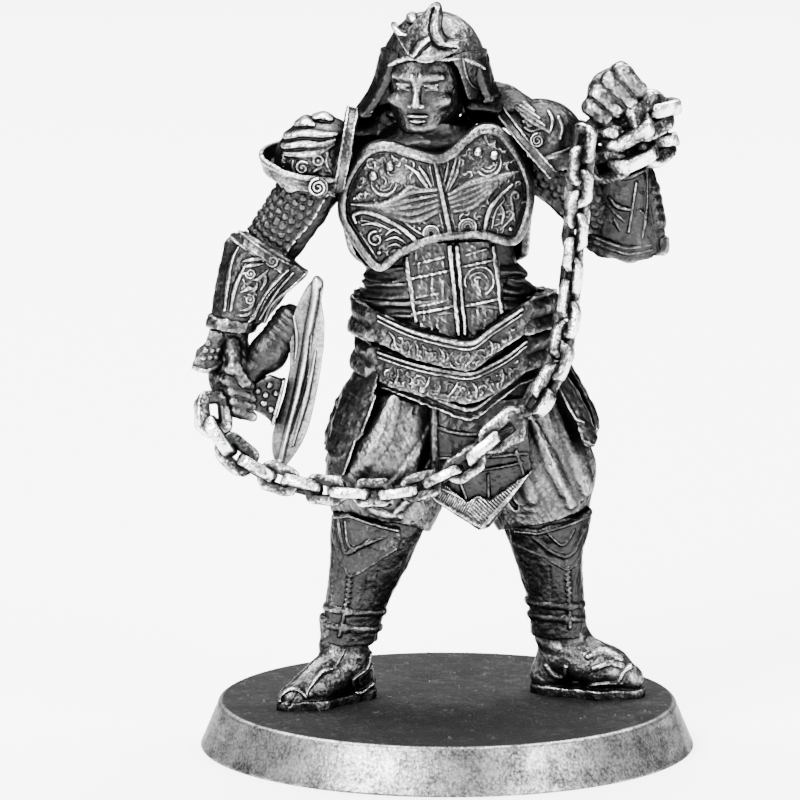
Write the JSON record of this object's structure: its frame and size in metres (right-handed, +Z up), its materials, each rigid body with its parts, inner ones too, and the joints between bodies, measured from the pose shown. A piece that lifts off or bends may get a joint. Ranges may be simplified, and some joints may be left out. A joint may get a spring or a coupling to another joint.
{
  "type": "cast metal tabletop wargame figure",
  "caption": "Armoured warrior figure on a round base, holding a sickle in one hand and a chain wound round the other wrist; a playing piece for tabletop games.",
  "frame": {"origin": "centre of the round base's flat underside", "axes": "+Z up through the figure, -Y the way the figure faces, +X towards the figure's left side"},
  "size_m": [0.0251, 0.025, 0.0376],
  "materials": {
    "armour_metal": "burnished edges over dark wash",
    "base_metal": "brushed rim, rough dark top",
    "blade_metal": "polished cast metal",
    "chain_metal": "burnished high points over dark recesses",
    "cloth_metal": "satin cast metal with dark wash"
  },
  "bodies": {
    "root": {"backplate": "armour_metal", "base": "base_metal", "belly_panel": "armour_metal", "breastplate": "armour_metal", "brow_crest": "armour_metal", "chain_drop": "chain_metal", "chain_sweep": "chain_metal", "chain_wrist_lower": "chain_metal", "chain_wrist_upper": "chain_metal", "collar": "armour_metal", "flap_hem": "cloth_metal", "front_flap": "cloth_metal", "head": "cloth_metal", "helmet_bowl": "armour_metal", "hips": "cloth_metal", "left_boot": "armour_metal", "left_cheek_guard": "armour_metal", "left_elbow_toggle": "armour_metal", "left_greave": "armour_metal", "left_hand": "cloth_metal", "left_hem_band": "armour_metal", "left_knee_guard": "armour_metal", "left_lower_ankle_strap": "armour_metal", "left_pauldron": "armour_metal", "left_pauldron_boss": "armour_metal", "left_thigh_plate": "armour_metal", "left_trouser_leg": "cloth_metal", "left_upper_ankle_strap": "armour_metal", "left_upper_arm": "cloth_metal", "left_vambrace": "armour_metal", "left_wrist_band": "armour_metal", "neck_guard": "armour_metal", "right_boot": "armour_metal", "right_cheek_guard": "armour_metal", "right_cuff": "armour_metal", "right_elbow_band": "armour_metal", "right_greave": "armour_metal", "right_hand": "cloth_metal", "right_knee_guard": "armour_metal", "right_lower_ankle_strap": "armour_metal", "right_pauldron": "armour_metal", "right_pauldron_boss": "armour_metal", "right_thigh_plate": "armour_metal", "right_trouser_leg": "cloth_metal", "right_upper_ankle_strap": "armour_metal", "right_upper_arm": "cloth_metal", "right_vambrace": "armour_metal", "right_wrist_band": "armour_metal", "sickle_blade": "blade_metal", "sickle_guard": "armour_metal", "sickle_handle": "cloth_metal", "skirt_plate_lower": "armour_metal", "skirt_plate_middle": "armour_metal", "skirt_plate_upper": "armour_metal", "torso": "armour_metal", "waist_wrap_lower": "cloth_metal", "waist_wrap_middle": "cloth_metal", "waist_wrap_upper": "cloth_metal"}
  },
  "joints": []
}
